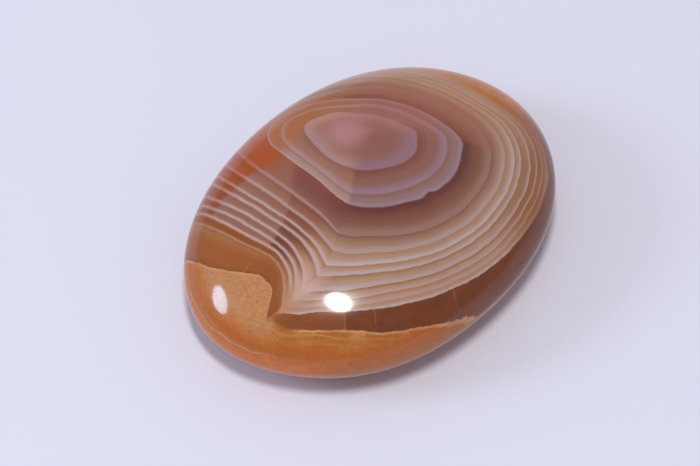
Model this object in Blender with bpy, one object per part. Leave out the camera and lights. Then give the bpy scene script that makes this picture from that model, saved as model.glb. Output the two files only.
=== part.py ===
"""An oval agate cabochon, ground and polished from one piece of banded stone.

The stone is one solid: a low dome above the girdle, a steeper bevel below it, and a
small flat ground into the back, on which it rests. Its length runs along X, its width
along Y, and the crown points up +Z. The origin is in the middle of the back flat.
"""

import math

import bmesh
import bpy

# The oval outline at the girdle, the widest level of the stone.
LENGTH = 0.0400
WIDTH = 0.0300

# Heights from the girdle: up to the crown, and down to the back flat.
DOME_HEIGHT = 0.0068
BACK_DEPTH = 0.0049
# The depth at which the bevel would close if the flat were not ground into it.
BEVEL_DEPTH = 0.0052

# How full each half of the section is: 2 is an ellipse, more stands squarer.
DOME_FULLNESS = 2.4
BEVEL_FULLNESS = 4.0

# Hand grinding leaves the oval a little uneven. Each wave is the number of times it
# goes round the outline, with its cosine and sine parts as shares of the radius.
OUTLINE_WAVES = (
    (3, -0.0063, 0.0021),
    (4, -0.0030, -0.0062),
    (5, -0.0015, 0.0013),
    (6, 0.0026, 0.0002),
)

# Faceting of the solid.
SEGMENTS = 96
DOME_RINGS = 18
BEVEL_RINGS = 9

# The warm brown that the bands average to, as linear RGB.
AGATE_BROWN = (0.32, 0.15, 0.085, 1.0)
POLISHED_ROUGHNESS = 0.05


def outline_point(angle):
    """The girdle's outline at an angle round the stone, before it is centred."""
    radius = 1.0
    for count, cosine_part, sine_part in OUTLINE_WAVES:
        radius += cosine_part * math.cos(count * angle) + sine_part * math.sin(count * angle)
    return (
        LENGTH / 2 * radius * math.cos(angle),
        WIDTH / 2 * radius * math.sin(angle),
    )


def centred_outline():
    """The outline's points, moved so that its box is centred on the origin."""
    points = [outline_point(2 * math.pi * i / SEGMENTS) for i in range(SEGMENTS)]
    middle_x = (max(x for x, _ in points) + min(x for x, _ in points)) / 2
    middle_y = (max(y for _, y in points) + min(y for _, y in points)) / 2
    return [(x - middle_x, y - middle_y) for x, y in points]


def section_reach(turn, fullness):
    """How far out the section is, as a share of the outline, at a turn from the axis."""
    return math.sin(turn) ** (2 / fullness)


def bevel_levels():
    """(share of the outline, height) of each ring, from the edge of the flat up to the girdle."""
    flat_turn = math.acos(BACK_DEPTH / BEVEL_DEPTH)
    levels = []
    for i in range(BEVEL_RINGS + 1):
        turn = flat_turn + (math.pi / 2 - flat_turn) * i / BEVEL_RINGS
        height = BACK_DEPTH - BEVEL_DEPTH * math.cos(turn)
        levels.append((section_reach(turn, BEVEL_FULLNESS), height))
    return levels


def dome_levels():
    """(share of the outline, height) of each ring above the girdle, short of the crown."""
    levels = []
    for i in range(1, DOME_RINGS):
        turn = math.pi / 2 * (1 - i / DOME_RINGS)
        height = BACK_DEPTH + DOME_HEIGHT * math.cos(turn)
        levels.append((section_reach(turn, DOME_FULLNESS), height))
    return levels


def add_ring(shape, outline, share, height):
    """One level ring of vertices: the outline, drawn in towards the axis."""
    return [shape.verts.new((x * share, y * share, height)) for x, y in outline]


def skin_between(shape, lower, upper):
    """Faces from one ring to the ring above it."""
    for i in range(SEGMENTS):
        following = (i + 1) % SEGMENTS
        shape.faces.new((lower[i], lower[following], upper[following], upper[i]))


def stone_mesh():
    """The closed surface: back flat, bevel, girdle and dome."""
    shape = bmesh.new()
    outline = centred_outline()
    rings = [
        add_ring(shape, outline, share, height)
        for share, height in bevel_levels() + dome_levels()
    ]
    shape.faces.new(reversed(rings[0]))
    for lower, upper in zip(rings, rings[1:]):
        skin_between(shape, lower, upper)
    crown = shape.verts.new((0, 0, BACK_DEPTH + DOME_HEIGHT))
    last = rings[-1]
    for i in range(SEGMENTS):
        shape.faces.new((last[i], last[(i + 1) % SEGMENTS], crown))
    mesh = bpy.data.meshes.new("agate_cabochon")
    shape.to_mesh(mesh)
    shape.free()
    mesh.shade_smooth()
    return mesh


def polished_agate():
    """The stone's plain colour and polish."""
    material = bpy.data.materials.new("polished_agate")
    material.use_nodes = True
    shader = material.node_tree.nodes["Principled BSDF"]
    shader.inputs["Base Color"].default_value = AGATE_BROWN
    shader.inputs["Roughness"].default_value = POLISHED_ROUGHNESS
    shader.inputs["Metallic"].default_value = 0.0
    return material


def main():
    for leftover in list(bpy.data.objects):
        bpy.data.objects.remove(leftover)
    mesh = stone_mesh()
    mesh.materials.append(polished_agate())
    stone = bpy.data.objects.new("agate_cabochon", mesh)
    bpy.context.scene.collection.objects.link(stone)


main()
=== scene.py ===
# %% [markdown]
# # A polished agate cabochon
#
# A cabochon is a stone ground to a smooth dome instead of to flat facets. This one is cut
# from a banded agate nodule: silica gel lined a hollow in old lava layer by layer, so every
# band is a growth line that once followed the wall of the hollow. The cut through those
# layers is the picture on the stone.
#
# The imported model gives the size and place. This script dresses it: it makes the fine
# polished surface, works out which growth layer each point of it cuts, and colours the
# layers. The frame comes first, and its box is kept to compare with the finished stone.

# %% Load the frame
import math

import bpy
import numpy as np
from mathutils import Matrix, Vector


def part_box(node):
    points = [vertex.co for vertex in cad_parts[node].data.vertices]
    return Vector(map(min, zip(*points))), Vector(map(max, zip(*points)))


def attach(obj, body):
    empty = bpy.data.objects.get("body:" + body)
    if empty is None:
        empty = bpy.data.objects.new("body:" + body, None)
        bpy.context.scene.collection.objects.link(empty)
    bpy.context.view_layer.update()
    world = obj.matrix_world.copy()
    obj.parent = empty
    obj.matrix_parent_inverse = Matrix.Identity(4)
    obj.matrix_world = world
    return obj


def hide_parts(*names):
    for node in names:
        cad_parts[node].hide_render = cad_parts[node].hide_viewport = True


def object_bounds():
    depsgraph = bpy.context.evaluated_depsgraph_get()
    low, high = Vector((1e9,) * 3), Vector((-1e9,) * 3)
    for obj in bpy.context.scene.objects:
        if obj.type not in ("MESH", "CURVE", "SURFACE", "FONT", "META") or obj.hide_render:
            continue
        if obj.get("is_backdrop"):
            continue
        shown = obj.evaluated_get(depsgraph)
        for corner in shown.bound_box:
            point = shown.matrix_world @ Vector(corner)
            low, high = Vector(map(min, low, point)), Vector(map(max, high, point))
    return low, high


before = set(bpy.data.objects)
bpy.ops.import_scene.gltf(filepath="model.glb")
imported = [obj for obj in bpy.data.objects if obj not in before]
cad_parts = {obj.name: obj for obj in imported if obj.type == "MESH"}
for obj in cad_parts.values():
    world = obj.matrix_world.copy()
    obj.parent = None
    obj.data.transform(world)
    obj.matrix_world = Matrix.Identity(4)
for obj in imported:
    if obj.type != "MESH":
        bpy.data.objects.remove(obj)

MM = 0.001
cad_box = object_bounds()
stone_low, stone_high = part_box("agate_cabochon")
print("the stone measures", [round(v / MM, 2) for v in stone_high - stone_low], "mm")

# %% [markdown]
# ## The camera
#
# A product photographer stands back with a long lens, so that the oval isn't distorted by
# perspective. The camera stands 0.4 m from the stone, over its narrow end and to the left,
# and looks down at 56 degrees. It aims a little to the left of the stone and below it, which
# puts the stone right of the middle of the picture.

# %% Camera
CAMERA_DISTANCE = 0.400
CAMERA_AZIMUTH = math.radians(-43.3)
CAMERA_ELEVATION = math.radians(55.6)
LENS = 213.7 * MM
SENSOR = 36 * MM
NEAREST_SEEN = 0.01
GIRDLE_HEIGHT = 4.9 * MM
AIM_LEFT = 1.885 * MM
AIM_DOWN = 1.074 * MM


def direction(azimuth, elevation):
    """The unit vector from the stone towards something seen at that azimuth and elevation."""
    level = math.cos(elevation)
    return Vector((math.sin(azimuth) * level, -math.cos(azimuth) * level, math.sin(elevation)))


def look_from(thing, towards, distance, target):
    """Puts a camera or a lamp at a distance from the target and turns it to face the target."""
    thing.location = target + towards * distance
    thing.rotation_euler = towards.to_track_quat("Z", "Y").to_euler()


camera_data = bpy.data.cameras.new("camera")
camera_data.lens = LENS / MM
camera_data.sensor_width = SENSOR / MM
camera_data.clip_start = NEAREST_SEEN
camera = bpy.data.objects.new("camera", camera_data)
bpy.context.scene.collection.objects.link(camera)
camera_side = direction(CAMERA_AZIMUTH, CAMERA_ELEVATION)
picture_right = Vector((math.cos(CAMERA_AZIMUTH), math.sin(CAMERA_AZIMUTH), 0))
picture_up = camera_side.cross(picture_right)
girdle_centre = Vector((0, 0, GIRDLE_HEIGHT))
aim = girdle_centre - picture_right * AIM_LEFT - picture_up * AIM_DOWN
look_from(camera, camera_side, CAMERA_DISTANCE, aim)
bpy.context.scene.camera = camera
print("camera at", [round(v, 3) for v in camera.location])

# %% [markdown]
# ## The ground shape
#
# The cutter grinds the outline first, then a steep bevel below it and a dome above it. Hand
# work leaves the oval a little uneven, so the outline is an ellipse with a few slow waves.
# A lathe can't turn an oval, and a sphere scaled flat has the wrong shoulders. So the section
# is a superellipse, whose fullness sets how square the shoulders stand, and the outline is
# drawn in towards the axis as the section says.

# %% Outline
LENGTH = 40.0
WIDTH = 30.0
# Times round the outline, with the cosine and sine parts as shares of the radius.
OUTLINE_WAVES = (
    (3, -0.0063, 0.0021),
    (4, -0.0030, -0.0062),
    (5, -0.0015, 0.0013),
    (6, 0.0026, 0.0002),
)
AROUND = 512


def centred_outline(count):
    """The girdle's outline in millimetres, centred on its own box."""
    angles = np.linspace(0, 2 * math.pi, count, endpoint=False)
    radius = np.ones(count)
    for waves, cosine_part, sine_part in OUTLINE_WAVES:
        radius += cosine_part * np.cos(waves * angles) + sine_part * np.sin(waves * angles)
    points = np.stack([LENGTH / 2 * np.cos(angles), WIDTH / 2 * np.sin(angles)], axis=1)
    points *= radius[:, None]
    return points - (points.max(axis=0) + points.min(axis=0)) / 2


outline = centred_outline(AROUND)
print("the outline is", [round(float(v), 2) for v in np.ptp(outline, axis=0)], "mm before it is fitted")

# %% [markdown]
# The bevel's superellipse is cut off where the flat back begins. Both halves of the section
# are drawn with many points and then read again at even steps, so that the mesh is as fine
# at the shoulders as at the crown.

# %% Section
DOME_HEIGHT = 6.8
BACK_DEPTH = 4.9
BEVEL_DEPTH = 5.2
DOME_FULLNESS = 2.4
BEVEL_FULLNESS = 4.0
BEVEL_POINTS = 400
DOME_POINTS = 800
CROWN_TURN = 0.002
BACK_CENTRE_SHARE = 0.02
FLAT_STEP = 0.5
BEVEL_STEP = 0.25
DOME_STEP = 0.18
FEWEST_STEPS = 2
MEAN_RADIUS = (LENGTH + WIDTH) / 4


def dome_top(share):
    """The height of the dome over a point at that share of the way out to the outline."""
    return BACK_DEPTH + DOME_HEIGHT * np.sqrt(np.clip(1 - share**DOME_FULLNESS, 0, 1))


def section_part(turns, depth, fullness):
    """Share of the outline and height from the girdle along one half of the section."""
    return np.stack([np.sin(turns) ** (2 / fullness), depth * np.cos(turns)], axis=1)


def evenly_spaced(path, step):
    """Points along a path of (share, height), about a step apart in millimetres."""
    lengths = np.hypot(np.diff(path[:, 0]) * MEAN_RADIUS, np.diff(path[:, 1]))
    along = np.concatenate([[0], np.cumsum(lengths)])
    stations = np.linspace(0, along[-1], max(FEWEST_STEPS, round(along[-1] / step)) + 1)
    return np.stack([np.interp(stations, along, path[:, k]) for k in (0, 1)], axis=1)


flat_turn = math.acos(BACK_DEPTH / BEVEL_DEPTH)
bevel_turns = np.linspace(flat_turn, math.pi / 2, BEVEL_POINTS)
dome_turns = np.linspace(math.pi / 2, CROWN_TURN, DOME_POINTS)
bevel = section_part(bevel_turns, -BEVEL_DEPTH, BEVEL_FULLNESS) + (0, BACK_DEPTH)
dome = section_part(dome_turns, DOME_HEIGHT, DOME_FULLNESS) + (0, BACK_DEPTH)
flat = np.array([[BACK_CENTRE_SHARE, 0.0], [bevel[0, 0], 0.0]])
section = np.concatenate([
    evenly_spaced(flat, FLAT_STEP)[:-1],
    evenly_spaced(bevel, BEVEL_STEP)[:-1],
    evenly_spaced(dome, DOME_STEP),
])
print("the section has", len(section), "rings, the flat reaches", round(bevel[0, 0], 3), "of the outline")

# %% [markdown]
# ## The fine mesh
#
# Every ring of the section is the same outline, drawn in. The rings lie 0.18 mm apart on the
# dome, which is about two pixels of the picture, so the highlights slide over it without a
# facet showing. Arrays of coordinates are made in one step, which is quicker than adding the
# points one by one.

# %% Stone mesh
rings = section[:, None, 0, None] * outline[None, :, :]
heights = np.broadcast_to(section[:, 1, None, None], rings.shape[:2] + (1,))
ring_points = np.concatenate([rings, heights], axis=2).reshape(-1, 3)
poles = np.array([[0, 0, 0], [0, 0, BACK_DEPTH + DOME_HEIGHT]])
points = np.concatenate([ring_points, poles])
shares = np.concatenate([np.repeat(section[:, 0], AROUND), [0, 0]])

cad_size = np.array(stone_high - stone_low) / MM
points[:, :2] *= cad_size[:2] / np.ptp(points[:, :2], axis=0)

back_pole = len(ring_points)
crown_pole = back_pole + 1
last_ring = (len(section) - 1) * AROUND
faces = []
for ring in range(len(section) - 1):
    for i in range(AROUND):
        here = ring * AROUND + i
        there = ring * AROUND + (i + 1) % AROUND
        faces.append((here, there, there + AROUND, here + AROUND))
for i in range(AROUND):
    following = (i + 1) % AROUND
    faces.append((back_pole, following, i))
    faces.append((last_ring + i, last_ring + following, crown_pole))

stone_mesh = bpy.data.meshes.new("polished_agate_stone")
stone_mesh.from_pydata((points * MM).tolist(), [], faces)
stone_mesh.shade_smooth()
stone = bpy.data.objects.new("polished_agate_stone", stone_mesh)
bpy.context.scene.collection.objects.link(stone)
print("the stone has", len(points), "points and", 2 * len(faces), "triangles or fewer")

# %% [markdown]
# ## The growth lines
#
# The bands are closed lines round an eye, the last bit of the hollow to be filled. They are
# nearly straight down the left face of the hollow and round along its foot, and they turn
# sharply where the two faces met, in a seam that runs from the eye down to the left.
#
# So each line is drawn like a map contour, in millimetres on the plan of the stone. Its open
# part is given by its distance from the eye at a few angles, anticlockwise from +X. The lines
# between the fourth line and the outermost white one keep steady shares of the gap there. Down
# the left face each line is given by its place at a few heights of the plan and its corner on
# the seam, and then come its first steps along the foot.

# %% Rims, borders and the edge of the rind
EYE = np.array([3.0, 4.8])

EYE_RIM = (
    (214, 3.8), (228, 4.1), (244, 4.3), (256, 4.5), (270, 5.0), (280, 5.35), (292, 5.65),
    (302, 5.7), (310, 5.55), (320, 5.5), (325, 5.3), (332, 4.6), (342, 4.0), (354, 3.5),
    (372, 3.05), (394, 2.85), (420, 3.1), (440, 3.9), (458, 4.6), (472, 5.4), (480, 5.3),
    (492, 4.75), (508, 4.15), (540, 3.75), (560, 3.8), (574, 3.8),
)
SECOND_RIM = (
    (221, 6.88), (229, 6.95), (240, 7.17), (256, 7.5), (270, 7.9), (284, 8.35), (300, 8.6),
    (312, 8.45), (320, 8.1), (326, 7.35), (336, 6.3), (352, 5.3), (372, 4.55), (392, 4.3),
    (412, 4.2), (440, 5.1), (460, 6.7), (474, 7.6), (486, 7.5), (502, 6.7), (520, 5.75),
    (540, 5.4), (552, 5.52), (567, 6.08), (574, 6.47), (581, 6.88),
)
THIRD_RIM = (
    (220, 8.12), (228, 8.38), (238, 8.62), (248, 8.82), (258, 9.05), (266, 9.4), (269, 9.35),
    (272, 9.3), (274.5, 9.6), (282, 9.9), (294, 10.1), (306, 10.0), (315, 9.85), (320, 9.35),
    (328, 8.35), (336, 7.55), (346, 6.75), (358, 6.05), (376, 5.4), (394, 5.1), (410, 5.1),
    (426, 5.6), (444, 6.7), (460, 8.1), (474, 9.0), (484, 8.95), (496, 8.4), (508, 7.45),
    (520, 6.85), (540, 6.4), (556, 6.66), (568, 7.26), (575, 7.78), (580, 8.12),
)
FOURTH_LINE_OPEN = (
    (234, 11.7), (246, 12.05), (258, 12.4), (270, 12.65), (284, 12.85), (304, 12.9),
    (314, 12.6), (324, 11.8), (334, 10.7), (346, 9.5), (358, 8.5), (374, 7.7), (394, 7.3),
    (414, 7.2), (434, 7.8), (454, 9.1), (472, 11.0), (486, 11.7), (496, 11.5), (504, 10.93),
)
WHITE_BORDER_OPEN = (
    (234, 18.5), (252, 18.1), (272, 18.0), (290, 18.07), (304, 18.28), (314, 18.28),
    (322, 17.85), (327, 17.4), (332, 16.6), (337, 15.4), (342, 14.55), (350, 13.8),
    (362, 13.0), (380, 12.5), (400, 12.5), (424, 13.4), (450, 16.0), (472, 18.6),
    (488, 19.5), (504, 18.8),
)
RIND_EDGE = (
    (203, 20.9), (208, 21.25), (213, 20.95), (220, 20.5), (232, 20.4), (244, 20.2),
    (252, 20.13), (258, 20.03), (264, 19.9), (272, 19.95), (284, 20.5), (296, 21.0),
    (316, 21.2), (332, 20.3), (348, 18.8), (372, 17.0), (412, 16.0), (452, 17.5), (488, 20.0),
    (510, 20.4), (524, 20.0), (533, 19.6), (542.4, 19.1), (550.4, 18.2), (554.3, 17.85),
    (556, 17.76), (558, 18.0), (560.3, 18.35), (561.3, 18.75), (561.7, 19.25), (562.0, 20.1),
    (562.3, 20.8), (563, 21.1),
)
print("the rind starts", min(knot[1] for knot in RIND_EDGE), "mm or more from the eye")

# %% [markdown]
# The left lines bow towards the narrow end and turn outwards just above their corners, most
# of all the outer ones.

# %% Lines of the left face
# Heights of the plan at which each line's place is given.
LEFT_HEIGHTS = (9.5, 7, 4, 2, 0, -1, -2, -2.5, -3, -3.5)
# For each line: its share of the gap at the foot and on the left face, its places at the
# heights, its corner, and its first steps along the foot as (angle, radius).
LEFT_LINES = (
    (0.000, 0.000, (-6.15, -6.2, -6.15, -6.1, -6.05, -6.1), (-6.2, -2.15), ((221, 11.6),)),
    (0.245, 0.207, (-7.6, -7.65, -7.6, -7.5, -7.45, -7.5, -7.6), (-7.72, -3.05), ((221, 13.45),)),
    (0.415, 0.367, (-8.9, -8.9, -8.75, -8.55, -8.5, -8.5, -8.65, -8.8, -8.97), (-9.2, -3.7),
     ((220, 14.8),)),
    (0.530, 0.480, (-9.7, -9.65, -9.5, -9.3, -9.2, -9.3, -9.5, -9.67, -9.87, -10.15),
     (-10.45, -3.95), ((220, 15.7),)),
    (0.705, 0.638, (-10.9, -10.68, -10.45, -10.3, -10.3, -10.5, -10.85, -11.1, -11.5, -12.0),
     (-12.85, -3.95), ((211.5, 17.8), (216, 17.4), (221, 17.1))),
    (0.820, 0.770, (-11.75, -11.55, -11.32, -11.15, -11.1, -11.25, -11.7, -12.05, -12.55, -13.1),
     (-13.7, -3.9), ((210, 18.6), (216, 18.2), (221, 17.95))),
    (0.920, 0.885, (-12.5, -12.45, -12.2, -11.85, -11.75, -11.95, -12.4, -12.8, -13.25, -13.8),
     (-14.35, -3.85), ((209, 19.3), (214, 18.9), (221, 18.55))),
    (1.000, 1.000, (-13.4, -13.3, -13.0, -12.55, -12.3, -12.5, -13.05, -13.45, -14.0, -14.65),
     (-15.2, -3.8), ((207.5, 20.0), (210, 19.85), (215, 19.3), (222, 18.95))),
)
OPEN_ANGLES = np.arange(234, 505, 6.0)
SHARES_CHANGE = (440, 500)


def smooth_curve(knot_places, knot_values, places):
    """Values at the places, on a smooth curve through the knots and level beyond the last."""
    slopes = np.gradient(knot_values, knot_places)
    places = np.clip(places, knot_places[0], knot_places[-1])
    before = np.clip(np.searchsorted(knot_places, places) - 1, 0, len(knot_places) - 2)
    gap = knot_places[before + 1] - knot_places[before]
    t = (places - knot_places[before]) / gap
    return (
        (1 + 2 * t) * (1 - t) ** 2 * knot_values[before]
        + t * (1 - t) ** 2 * gap * slopes[before]
        + t**2 * (3 - 2 * t) * knot_values[before + 1]
        - t**2 * (1 - t) * gap * slopes[before + 1]
    )


def smooth_line(knots, angles):
    """Radii at the angles, on a smooth curve through (angle, radius) knots once round the eye."""
    knot_angles, knot_radii = np.array(knots, dtype=float).T
    return smooth_curve(knot_angles, knot_radii, knot_angles[0] + np.mod(angles - knot_angles[0], 360))


def as_knot(x, y, turns=0):
    """A point of the plan as (angle, radius) from the eye."""
    east, north = x - EYE[0], y - EYE[1]
    return math.degrees(math.atan2(north, east)) % 360 + turns * 360, math.hypot(east, north)


def left_face_line(foot_share, left_share, places, corner, first_steps):
    """The knots of one line, from its corner on the seam round to the corner again."""
    share = np.interp(OPEN_ANGLES, SHARES_CHANGE, (foot_share, left_share))
    inner = smooth_line(FOURTH_LINE_OPEN, OPEN_ANGLES)
    outer = smooth_line(WHITE_BORDER_OPEN, OPEN_ANGLES)
    open_knots = list(zip(OPEN_ANGLES, inner + share * (outer - inner)))
    descent = [as_knot(x, y, turns=1) for x, y in zip(places, LEFT_HEIGHTS)]
    return [as_knot(*corner), *first_steps, *open_knots, *descent, as_knot(*corner, turns=1)]


def left_places(line, heights):
    """How far along the plan one of the left lines stands, at these heights of the plan."""
    _, _, places, corner, _ = line
    knots = [(corner[1], corner[0])] + list(zip(LEFT_HEIGHTS, places))[::-1]
    knot_heights, knot_places = np.array(knots, dtype=float).T
    return smooth_curve(knot_heights, knot_places, heights)


growth_lines = [EYE_RIM, SECOND_RIM, THIRD_RIM]
growth_lines += [left_face_line(*line) for line in LEFT_LINES]
growth_lines += [RIND_EDGE]
print("there are", len(growth_lines), "growth lines")

# %% [markdown]
# ## The layers in depth
#
# The layers are shells, so they also dip into the stone. On the dome the lines stand where
# they were drawn. Below it every point is looked up further out, by a share for each
# millimetre of depth under the dome. So the bands run on over the girdle and down the bevel,
# and the back shows a smaller eye in a broader rind, as the back of such a slice does.
#
# The result is one number for each point, its growth level: 0 in the eye, 1 on the first
# line, 2 on the second and so on. The seam runs from the eye through the corners of the
# lines, and how far a point lies past it tells which face of the hollow its layer grew on.

# %% Growth levels
EYE_EDGE, WIDE_END, DARK_LAYER, RIND = 3, 4, 11, 12
DIP = 0.045
RIND_LAYER = 2.0
MINIMUM_GAP = 0.02
SEAM = [(224, 0), SECOND_RIM[0], THIRD_RIM[0]]
SEAM += [as_knot(*corner) for _, _, _, corner, _ in LEFT_LINES]
SEAM += [(202.6, 20.95), (201.5, 22)]

depth = dome_top(shares) - points[:, 2]
offset = points[:, :2] - EYE
spread = 1 + DIP * np.clip(depth, 0, None)
radius = np.hypot(offset[:, 0], offset[:, 1]) * spread
angle = np.degrees(np.arctan2(offset[:, 1], offset[:, 0])) % 360

line_radii = np.stack([np.zeros(len(points))] + [smooth_line(line, angle) for line in growth_lines])
for inner, outer in zip(line_radii, line_radii[1:]):
    np.maximum(outer, inner + MINIMUM_GAP, out=outer)
passed = (radius >= line_radii).sum(axis=0) - 1
layer = np.minimum(passed, len(growth_lines) - 1)
columns = np.arange(len(points))
start = line_radii[layer, columns]
thickness = line_radii[layer + 1, columns] - start
level = layer + (radius - start) / thickness
rind_edge = line_radii[-1]
outside = radius > rind_edge
level[outside] = len(growth_lines) + (radius - rind_edge)[outside] / RIND_LAYER
thickness[outside] = RIND_LAYER

seam_angles, seam_radii = np.array(SEAM).T
seam_angle = np.interp(radius, seam_radii, seam_angles)
past_seam = np.radians(np.mod(angle - seam_angle + 180, 360) - 180) * radius
print("growth levels run from", round(level.min(), 2), "to", round(level.max(), 2))

# %% [markdown]
# Near the seam the left lines run almost straight away from the eye, where a distance from
# the eye can't tell them apart. So on the left face a point's level comes from the lines'
# places at its height of the plan instead. The lines stand at a slant there, so the gap
# between two of them is measured across the slant.

# %% Levels on the left face
TYPICAL_LINE = LEFT_LINES[3]
SLOPE_STEP = 0.1
BY_HEIGHT_BELOW = 8.0
LEFT_FACE_ANGLES = (120, 235)
JUST_INSIDE = WIDE_END - 0.001


def smooth_step(low, high, values):
    """0 below low, 1 above high, and an even curve between them."""
    t = np.clip((values - low) / (high - low), 0, 1)
    return t * t * (3 - 2 * t)


plan_x, plan_y = EYE[0] + offset[:, 0] * spread, EYE[1] + offset[:, 1] * spread
left_x = np.stack([left_places(line, plan_y) for line in LEFT_LINES])
for inner, outer in zip(left_x, left_x[1:]):
    np.minimum(outer, inner - MINIMUM_GAP, out=outer)
rise = left_places(TYPICAL_LINE, plan_y + SLOPE_STEP) - left_places(TYPICAL_LINE, plan_y - SLOPE_STEP)
slant = np.hypot(1, rise / (2 * SLOPE_STEP))
lines_passed = (plan_x <= left_x).sum(axis=0)
last_line = np.clip(lines_passed, 1, len(LEFT_LINES) - 1) - 1
gap_across = left_x[last_line, columns] - left_x[last_line + 1, columns]
left_level = WIDE_END + last_line + (left_x[last_line, columns] - plan_x) / gap_across
left_thickness = gap_across / slant
past_lines = np.clip(left_x[-1] - plan_x, 0, None)
to_rind = np.clip(rind_edge - radius, MINIMUM_GAP, None)
in_last = lines_passed == len(LEFT_LINES)
left_level[in_last] = DARK_LAYER + (past_lines / (past_lines + to_rind))[in_last]
left_thickness[in_last] = (past_lines + to_rind)[in_last]
within_first = lines_passed == 0
left_level[within_first] = np.minimum(level, JUST_INSIDE)[within_first]
left_thickness[within_first] = thickness[within_first]

between_angles = (angle > LEFT_FACE_ANGLES[0]) & (angle < LEFT_FACE_ANGLES[1])
on_left = (past_seam < 0) & between_angles & ~outside & (level > EYE_EDGE)
by_height = np.where(on_left, 1 - smooth_step(BY_HEIGHT_BELOW, LEFT_HEIGHTS[0], plan_y), 0)
level = level + by_height * (left_level - level)
thickness = thickness + by_height * (left_thickness - thickness)
print(int(on_left.sum()), "points take their level from the left lines")

# %% [markdown]
# The levels go to the material as attributes of the mesh. With them goes the thickness of
# each point's layer, and the same thickness once more, changing evenly from the middle of
# one layer to the middle of the next. Then come weights for the faces of the hollow: the
# left face, the foot, the far side and the top. Each is a turn from one angle round the eye
# to another. A second, fainter seam in the wide layer round the eye parts the foot from the
# far side.

# %% Attributes of the mesh
THINNEST = 0.6
MIDDLE_OF_LAYER = 0.5
JUST_SHORT_OF_LAST = len(growth_lines) - 0.001
FAR_SEAM_RADII = (10.0, 14.2, 18.0)
FAR_SEAM_ANGLES = (316, 309, 306)
FAR_SEAM_BLUR = 1.5
FAR_STEP = 0.5
WIDE_LAYER_STARTS, WIDE_LAYER_FADES = (2.95, 3.05), (5.0, 4.0)
FAR_TURN = (306, 342)
TOP_TURN = (365, 455)
LEFT_TURN = (100, 145)
# Angles before the first count a turn more, and angles past the second lie right of the eye.
COUNTED_FROM, RIGHT_OF_EYE = 160, 300

all_thicknesses = np.concatenate([np.diff(line_radii, axis=0), np.full((1, len(points)), RIND_LAYER)])
place_between = np.clip(level - MIDDLE_OF_LAYER, 0, JUST_SHORT_OF_LAST)
lower = place_between.astype(int)
share = place_between - lower
even_thickness = (1 - share) * all_thicknesses[lower, columns] + share * all_thicknesses[lower + 1, columns]

around = np.where(angle < COUNTED_FROM, angle + 360, angle)
past_far_seam = around - np.interp(radius, FAR_SEAM_RADII, FAR_SEAM_ANGLES)
in_wide_layer = smooth_step(*WIDE_LAYER_STARTS, level) * smooth_step(*WIDE_LAYER_FADES, level)
far_step = smooth_step(-FAR_SEAM_BLUR, FAR_SEAM_BLUR, past_far_seam) * in_wide_layer
far_slope = smooth_step(*FAR_TURN, around)
weights = {
    "growth_level": level,
    "layer_thickness": thickness,
    "even_thickness": np.maximum(even_thickness, THINNEST),
    "past_seam": past_seam,
    "left_end": smooth_step(*LEFT_TURN, np.where(angle > RIGHT_OF_EYE, 0, angle)),
    "far_side": far_slope + FAR_STEP * far_step * (1 - far_slope),
    "top_side": smooth_step(*TOP_TURN, around),
}
for name, values in weights.items():
    attribute = stone_mesh.attributes.new(name, "FLOAT", "POINT")
    attribute.data.foreach_set("value", values.astype(np.float32))
print("the mesh keeps", ", ".join(weights))

# %% [markdown]
# ## The agate's finish
#
# The material is chalcedony, quartz in fibres too fine to see. Its refractive index is 1.54,
# and it takes a mirror polish, so the surface shows the lamps as sharp, bright patches and
# the table as a pale rim where it is seen at a slant.
#
# All its colours come from a little iron in clear quartz, so one palette serves the whole
# stone, and each pigment is named for what it looks like. A rule then says how a layer goes
# through three of them, so the bands are worked out and not listed one by one.
#
# One function adds every node, and a kind of node is a value: its type with its settings.
# MIX takes a factor and two colours. LINEAR takes a value from between two numbers to
# between two others, or to between 0 and 1, and SMOOTH takes it from 0 to 1 on an even curve.
# Where the first of its two numbers is the larger, the result falls as the value rises. So a
# named pair of numbers below says where something starts and where it is complete, and with
# two more it also says how strong it is at each.

# %% One function for all the nodes
MIX = ("Mix", {"data_type": "RGBA"})
MIX_NUMBERS = ("Mix", {"data_type": "FLOAT"})
LINEAR = ("MapRange", {})
SMOOTH = ("MapRange", {"interpolation_type": "SMOOTHSTEP"})
PLUS = ("Math", {"operation": "ADD"})
MINUS = ("Math", {"operation": "SUBTRACT"})
TIMES = ("Math", {"operation": "MULTIPLY"})
DIVIDED = ("Math", {"operation": "DIVIDE"})
LARGER = ("Math", {"operation": "MAXIMUM"})
SIZE_OF = ("Math", {"operation": "ABSOLUTE"})
WHOLE_PART = ("Math", {"operation": "FLOOR"})
FRACTION = ("Math", {"operation": "FRACT"})
ANGLE_OF = ("Math", {"operation": "ARCTAN2"})
SCALED = ("VectorMath", {"operation": "SCALE"})
DISTANCE = ("VectorMath", {"operation": "DISTANCE"})
COORDINATES = ("TexCoord", {})
AXES = ("SeparateXYZ", {})
NOISE = ("TexNoise", {})
LAYER_NOISE = ("TexNoise", {"noise_dimensions": "1D"})
SCATTERED_CELLS = ("TexVoronoi", {})
COLOUR_RAMP = ("ValToRGB", {})
BUMP = ("Bump", {})
SURFACE = ("BsdfPrincipled", {})
MATERIAL_OUTPUT = ("OutputMaterial", {})

agate = bpy.data.materials.new("polished_banded_agate")
agate.use_nodes = True
tree = agate.node_tree
tree.nodes.clear()


def srgb(hex_colour):
    """A hex colour as it looks on screen, as the linear RGBA that a shader takes."""
    channels = [int(hex_colour[k:k + 2], 16) / 255 for k in (1, 3, 5)]
    linear = [c / 12.92 if c <= 0.04045 else ((c + 0.055) / 1.055) ** 2.4 for c in channels]
    return (*linear, 1.0)


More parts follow.
